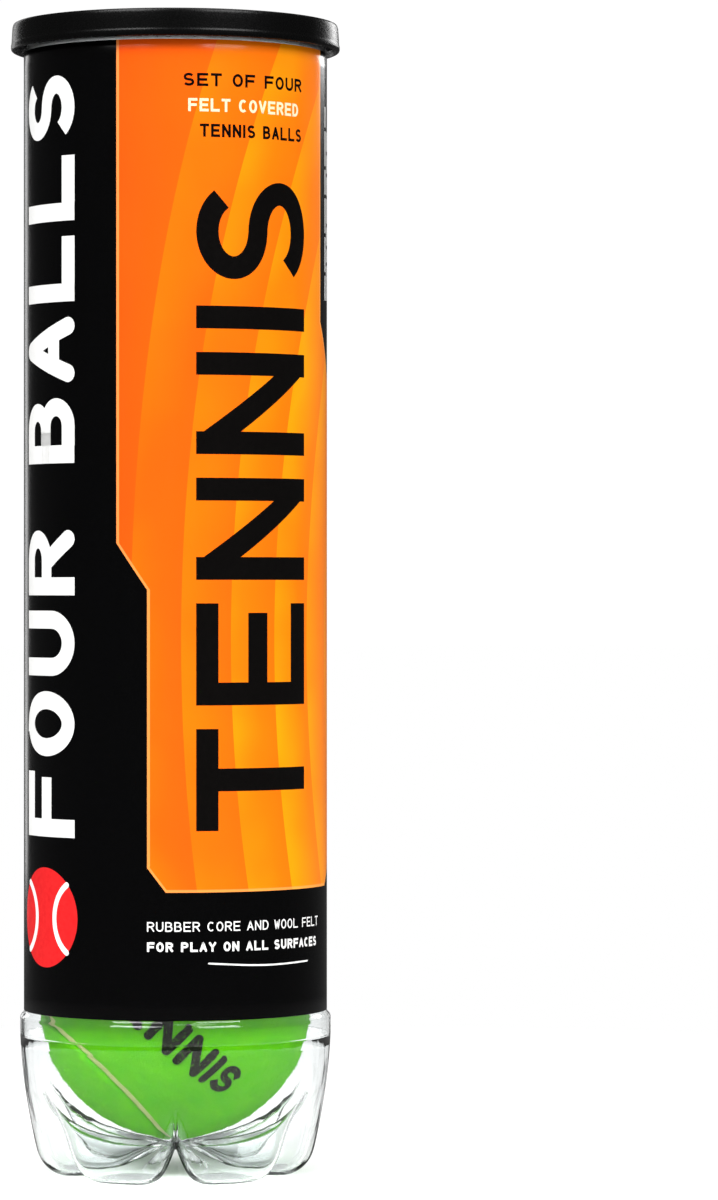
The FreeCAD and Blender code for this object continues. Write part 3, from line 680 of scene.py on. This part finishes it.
def back_print():
    """The back: a word up the second orange panel, and beside that panel a white one with a bar pattern, two
    rules and rows of short dashes."""
    print_words("print_back_word", [("TENNIS", 22.0, 16.9, 3.9, upwards(-76.0, 116.0))], BLACK_INK, 3.8, *WORD)
    near, far = BACK_MIDDLE - 14, BACK_MIDDLE + 14
    outline = rounded([(near, 92), (far, 92), (far, 118), (near, 118), (near, 91.9)], 1.0, 0.8)[:-1]
    printed("print_bar_panel", patch_grid(outline, INK, on_wrap, 16), WHITE_INK)
    widths = rng.choice([0.28, 0.28, 0.56, 0.84], 32)
    starts = np.cumsum(widths + rng.choice([0.28, 0.42, 0.56], 32))
    starts = BACK_MIDDLE - 12 + starts * 24 / starts[-1]
    bars = [stroke_grid([(x, 96.5), (x, 115.5)], w, 0.1, TOP_INK, on_wrap) for x, w in zip(starts, widths)]
    printed("print_bars", bars, BLACK_INK)
    near, far = BACK_MIDDLE - 16, BACK_MIDDLE + 16
    rows = [stroke_grid([(near, height), (far, height)], 0.3, 0.1, INK, on_wrap) for height in (128.0, 236.0)]
    near = BACK_MIDDLE - 15.5
    for row in range(13):
        height, cursor, end = 228.0 - 7.2 * row, 0.0, rng.uniform(18, 31)
        while cursor < end:
            length = rng.choice([2.0, 3.2, 4.6, 6.8])
            ends = [(near + cursor, height), (near + min(cursor + length, 31.0), height)]
            rows.append(stroke_grid(ends, 1.3, 0.1, INK, on_wrap))
            cursor += length + 1.7
    printed("print_back_rows", rows, WHITE_INK)


# ---- cap -------------------------------------------------------------------------------------------------
def cap():
    """The press-on cap: a turned section with a raised rim round its top, a recess with a shallow step and a
    gate mark in it, a flared skirt with a rolled foot and the bead inside it."""
    top_r, under = CAP_FOOT_R - 0.4, CAP_HIGH - 1.2
    plate = [(0, -0.7), (1.5, -0.7), (2.0, -0.5), (29.5, -0.5), (30.0, -0.62), (top_r - 3.9, -0.62),
             (top_r - 3.2, 0), (top_r - 0.25, 0), (top_r, -0.7), (top_r + 0.12, -2.0)]
    skirt = [(CAP_FOOT_R - 0.12, 1.7), (CAP_FOOT_R, 1.45), (CAP_FOOT_R, 0.4), (CAP_FOOT_R - 0.45, 0),
             (CAP_BORE_R + 0.35, 0), (CAP_BORE_R, 1.25), (CAP_BORE_R - 0.2, 1.75), (CAP_BORE_R, 2.25)]
    section = [(radius, CAP_HIGH + height) for radius, height in plate]
    section += [(radius, CAP_LOW + height) for radius, height in skirt] + [(CAP_BORE_R, under), (0, under)]
    grid = turned(rounded(section, 0.45, 0.22), 240)
    grid_piece("cap_moulding", grid, "cap", CAP_PLASTIC, stands_for=["cap"])


# ---- balls -----------------------------------------------------------------------------------------------
def seam_direction(turn):
    """The seam on a unit sphere: two turning terms across and up, and a height that rises and falls twice."""
    large, small = SEAM_LARGE, 1 - SEAM_LARGE
    across = large * np.sin(turn) + small * np.sin(3 * turn)
    up = large * np.cos(turn) - small * np.cos(3 * turn)
    return np.stack([across, up, 2 * math.sqrt(large * small) * np.cos(2 * turn)], -1)


def even_turns(count):
    """Turns that step evenly along the seam, and come round again at the end."""
    dense = np.linspace(0, 2 * np.pi, 4001)
    length = np.concatenate([[0], np.cumsum(np.linalg.norm(np.diff(seam_direction(dense), axis=0), axis=1))])
    return np.interp(np.linspace(0, length[-1], count + 1), length, dense)


def ball_turn(number):
    """The rotation of a ball in the can: rolled about its broad side, that side faced front, then turned."""
    def about_axis(angle):
        c, s = math.cos(math.radians(angle)), math.sin(math.radians(angle))
        return np.array([[c, -s, 0], [s, c, 0], [0, 0, 1]])

    facing_front = np.array([[1, 0, 0], [0, 0, -1], [0, 1, 0]])
    return about_axis(BALL_YAW[number - 1]) @ facing_front @ about_axis(BALL_ROLL[number - 1])


def in_can(number, local):
    """Points of a ball, laid where that ball lies in the can."""
    return local @ ball_turn(number).T + ball_centre(number)


def felt_panel(fine):
    """One dog-bone of felt about the +Z side: along each of many great arcs from the middle line out to the
    seam, the outside swells and dips with the nap, rolls over at the edge, and returns along the core."""
    turn = even_turns(fine)
    edge = seam_direction(turn)
    middle_angle = np.arctan2(edge[:, 0], edge[:, 2]) * 2 / 3
    middle = np.stack([np.sin(middle_angle), 0 * middle_angle, np.cos(middle_angle)], -1)
    reach = np.arccos((edge * middle).sum(-1).clip(-1, 1))
    roll = EDGE_ROLL / BALL_R
    full = reach - SEAM_WIDTH / 2 / BALL_R
    out = np.linspace(0, 1, fine // 7)[:, None] * (full - roll)
    round_edge = np.linspace(0, np.pi / 2, 7)[1:, None]
    over = full - roll * (1 - np.sin(round_edge))
    down = np.broadcast_to(full, (3, len(full)))
    back = np.linspace(1, 0, 7)[:, None] * full
    arc = np.concatenate([out, over, down, back])
    drop = np.concatenate([0 * out, SEAM_RECESS * (1 - np.cos(round_edge)) + 0 * over])
    floor = CORE_R + 0.02
    side = [[BALL_R - 1.6], [BALL_R - 2.6], [floor]] + 0 * down
    heights = np.concatenate([BALL_R - 0.12 - drop, side, floor + 0 * back])
    direction = np.sin(reach - arc)[..., None] * middle + np.sin(arc)[..., None] * edge
    direction /= np.sin(reach)[:, None]
    nap = 0.05 * waves(direction * BALL_R, 3.2) + 0.035 * waves(direction * BALL_R, 1.3)
    outside = heights > CORE_R + 1.0
    return direction * (heights + nap.clip(-0.12, 0.11) * outside)[..., None]


def cement_ring(fine):
    """The seam's cement: a low round-topped section carried along the seam between the two felts."""
    turn = even_turns(fine)
    here = seam_direction(turn)
    along = seam_direction(turn + 1e-4) - seam_direction(turn - 1e-4)
    side = np.cross(here, along)
    side /= np.linalg.norm(side, axis=1)[:, None]
    across = np.linspace(-1, 1, 9)
    section = np.concatenate([across, [1, -1], across[:1]]) * SEAM_WIDTH / 2 * 1.04
    crown = BALL_R - SEAM_RECESS - 0.25 * across**2
    height = np.concatenate([crown, [CORE_R + 0.1] * 2, crown[:1]])
    ripple = 0.05 * waves(here * BALL_R, 4.0)[:, None] * (height > BALL_R - 2)
    ray = here[:, None] + side[:, None] * (section / BALL_R)[None, :, None]
    ray /= np.linalg.norm(ray, axis=-1)[..., None]
    return ray * (height + ripple)[..., None]


def stamp_paths():
    """The paths of a ball's stamp, as points on the plane that touches the middle of its broad side."""
    paths, length = lettering("TENNIS", STAMP_HEIGHT, STAMP_LETTER, STAMP_GAP, STAMP_STROKE)
    along = np.array([math.cos(STAMP_TILT), math.sin(STAMP_TILT)])
    up = np.array([-along[1], along[0]])
    lengthways = [(path[:, :1] - length / 2) * along for path in paths]
    upright = [(path[:, 1:] - STAMP_HEIGHT / 2) * up for path in paths]
    return [STAMP_MIDDLE + one + other for one, other in zip(lengthways, upright)]


def facing(number):
    """Lays plane points of the ball's front on the ball, x to the right and y up."""
    yaw = math.radians(BALL_YAW[number - 1])
    right, front = np.array([math.cos(yaw), math.sin(yaw), 0]), np.array([math.sin(yaw), -math.cos(yaw), 0])

    def place(x, y, lift):
        ray = front + (x[..., None] * right + y[..., None] * np.array([0, 0, 1.0])) / BALL_R
        ray /= np.linalg.norm(ray, axis=-1)[..., None]
        return ray * (BALL_R - 0.02 + lift)[..., None] + ball_centre(number)

    return place


def nap(number, count):
    """Loose fibres standing off the felt: each starts at a random point outside the seam and bends over as it
    rises, drawn as a narrow strip of three rows that comes to a tip."""
    root = rng.normal(size=(count, 3))
    root /= np.linalg.norm(root, axis=1)[:, None]
    seam = seam_direction(even_turns(300))
    clear = (root @ seam.T).max(1) < math.cos(1.75 / BALL_R)
    root = root[clear]
    lean = np.cross(root, rng.normal(size=root.shape))
    lean /= np.linalg.norm(lean, axis=1)[:, None]
    side = np.cross(root, lean)
    size = rng.uniform(0.35, 1.0, len(root))[:, None, None, None]
    rise = np.array([-0.15, 0.32, 0.42])[None, :, None, None]
    drift = np.array([0.0, 0.35, 1.0])[None, :, None, None]
    drift = drift * rng.uniform(0.5, 1.6, len(root))[:, None, None, None]
    wide = np.array([0.04, 0.034, 0.008])[None, :, None, None] * np.array([-1, 1])[None, None, :, None]
    root, lean, side = root[:, None, None, :], lean[:, None, None, :], side[:, None, None, :]
    return root * (BALL_R - 0.1 + rise * size) + lean * drift * size + side * wide


def nap_piece(number, count):
    """The nap of one ball as a piece of open strips. Each strip has a cell of its own on a square UV map."""
    strip = nap(number, count)
    hairs = len(strip)
    points = in_can(number, strip.reshape(-1, 3))
    index = np.arange(hairs * 6).reshape(hairs, 3, 2)
    quads = np.stack([index[:, :-1, 0], index[:, :-1, 1], index[:, 1:, 1], index[:, 1:, 0]], -1).reshape(-1, 4)
    name = f"ball_{number}_nap"
    mesh = bpy.data.meshes.new(name)
    mesh.from_pydata(points * MM, [], quads)
    across = math.ceil(hairs**0.5)
    cell = np.stack([np.arange(hairs) % across, np.arange(hairs) // across], -1)[:, None, None, :]
    wide, tall = np.array([0.2, 0.8])[None, None, :], np.array([0.1, 0.5, 0.9])[None, :, None]
    spot = np.stack(np.broadcast_arrays(wide, tall), -1)
    spread = ((cell + spot) / across).reshape(-1, 2)
    layer = mesh.uv_layers.new(name="OFBake")
    layer.data.foreach_set("uv", spread[quads.reshape(-1)].astype(np.float32).ravel())
    mesh.materials.append(NAP_GREEN)
    piece = bpy.data.objects.new(name, mesh)
    bpy.context.scene.collection.objects.link(piece)
    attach(piece, f"ball_{number}")


def ball(number):
    """One ball: its two felts, the cement between them, the stamp and the nap. The top and the bottom one are
    finer, because they show."""
    fine = 420 if number in (1, 4) else 336
    body = f"ball_{number}"
    swap = np.array([[0, 1, 0], [1, 0, 0], [0, 0, -1.0]])
    for half, points in (("a", felt_panel(fine)), ("b", felt_panel(fine) @ swap)):
        cover, felts = in_can(number, points), [f"{body}_felt_{half}"]
        grid_piece(f"{body}_cover_{half}", cover, body, FELT_GREEN, stands_for=felts)
    cement = in_can(number, cement_ring(360))
    grid_piece(f"{body}_cement", cement, body, CEMENT, stands_for=[f"{body}_seam"])
    grids = [stroke_grid(path, STAMP_STROKE, 0.2, 0.16, facing(number)) for path in stamp_paths()]
    grid_piece(f"{body}_stamp", grids, body, STAMP_INK, smooth=False)
    nap_piece(number, 14000 if number == 1 else 9000)


# ---- stage -----------------------------------------------------------------------------------------------
def area_light(name, place, aim, size, power):
    """A white rectangular lamp that faces its aim, with its width and height in metres and power in watts."""
    lamp = bpy.data.lights.new(name, "AREA")
    lamp.shape, lamp.size, lamp.size_y, lamp.energy = "RECTANGLE", size[0], size[1], power
    holder = bpy.data.objects.new(name, lamp)
    holder.location = place
    holder.rotation_euler = (Vector(aim) - Vector(place)).to_track_quat("-Z", "Y").to_euler()
    bpy.context.scene.collection.objects.link(holder)


def seen_strength(finish, seen, fill, mirrored):
    """How strong a light is, by how its ray arrives: seen directly or through the clear wall, as fill light on
    a matt surface, or mirrored in a glossy one."""
    kinds = {kind: finish.node("ShaderNodeLightPath", {}, {}, f"Is {kind} Ray") for kind in
             ("Camera", "Transmission", "Diffuse")}
    direct = kinds["Camera"].maths("MAXIMUM", kinds["Transmission"])
    return direct * seen + (1 - direct) * (mirrored + kinds["Diffuse"] * (fill - mirrored))


def stage():
    """A wide pale floor that shines evenly from 0.4 m out, a white surround and five soft lamps."""
    floor = bpy.data.meshes.new("floor")
    floor.from_pydata([(-12, -12, 0), (12, -12, 0), (12, 12, 0), (-12, 12, 0)], [], [(0, 1, 2, 3)])
    finish = Finish("pale floor")
    place = finish.place()
    reach = finish.node("ShaderNodeVectorMath", {"operation": "LENGTH"}, {0: place}, 1)
    mottle = finish.noise(place, 0.004, 2.0, 0.5)
    colour = finish.mix(mottle, (0.86, 0.86, 0.86, 1), (0.88, 0.88, 0.88, 1))
    near = finish.surface(Base_Color=colour, Roughness=0.7, Specular_IOR_Level=0.2)
    far = finish.node("ShaderNodeEmission", {}, {"Strength": seen_strength(finish, 1.0, 0.6, 0.08)})
    mirrored = finish.node("ShaderNodeLightPath", {}, {}, "Is Glossy Ray")
    through = finish.node("ShaderNodeLightPath", {}, {}, "Is Transmission Ray")
    dark = finish.node("ShaderNodeBsdfDiffuse", {}, {"Color": (0.1, 0.1, 0.1, 1)})
    near = finish.node("ShaderNodeMixShader", {}, {0: mirrored * (1 - through), 1: near, 2: dark})
    fade = reach.between(90.0, 420.0)
    floor.materials.append(finish.done(finish.node("ShaderNodeMixShader", {}, {0: fade, 1: near, 2: far})))
    ground = bpy.data.objects.new("floor", floor)
    bpy.context.scene.collection.objects.link(ground)
    world = bpy.data.worlds.new("studio")
    world.use_nodes = True
    bpy.context.scene.world = world
    sky = Finish("studio", world.node_tree)
    background = sky.tree.nodes["Background"]
    sky.tree.links.new(seen_strength(sky, 1.02, 0.5, 0.06).socket, background.inputs["Strength"])
    background.inputs["Color"].default_value = (1, 1, 1, 1)
    area_light("key", (-0.8, -1.0, 1.5), (0, 0, 0.12), (1.0, 0.8), 30)
    area_light("fill", (0.9, -1.1, 1.4), (0, 0, 0.12), (1.0, 0.8), 24)
    area_light("cap strip", (0.62, 1.0, 0.5), (0, 0, 0.27), (0.3, 0.22), 1.4)
    area_light("left strip", (-0.5, 1.1, 0.3), (0, 0, 0.14), (0.2, 1.0), 1.2)
    area_light("top", (0.1, 0.2, 1.6), (0, 0, 0.1), (1.2, 1.2), 14)


def camera():
    """Level with the middle of the can, 1.25 m in front of it and aimed a little to its right."""
    lens = bpy.data.cameras.new("camera")
    lens.lens, lens.sensor_width = 153.3, 36.0
    lens.clip_start, lens.clip_end = 0.05, 60
    holder = bpy.data.objects.new("camera", lens)
    holder.location = (0, -1.248, 0.1424)
    holder.rotation_euler = (math.radians(90 - 0.123), 0, math.radians(-2.056))
    bpy.context.scene.collection.objects.link(holder)
    bpy.context.scene.camera = holder


def refinish(node, material):
    """Gives a solid of the frame its finished material."""
    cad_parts[node].data.materials.clear()
    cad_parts[node].data.materials.append(material)


camera()
bpy.context.scene.view_settings.view_transform = "Standard"
stage()
bottle()
wrap_film()
printing()
back_print()
cap()
for number in range(1, 5):
    ball(number)
    refinish(f"ball_{number}_shell_upper", CORE_RUBBER)
    refinish(f"ball_{number}_shell_lower", CORE_RUBBER)
for node in ("end_rim", "tear_panel", "tab_island", "pull_ring"):
    refinish(node, METAL)
refinish("seam_compound", COMPOUND)
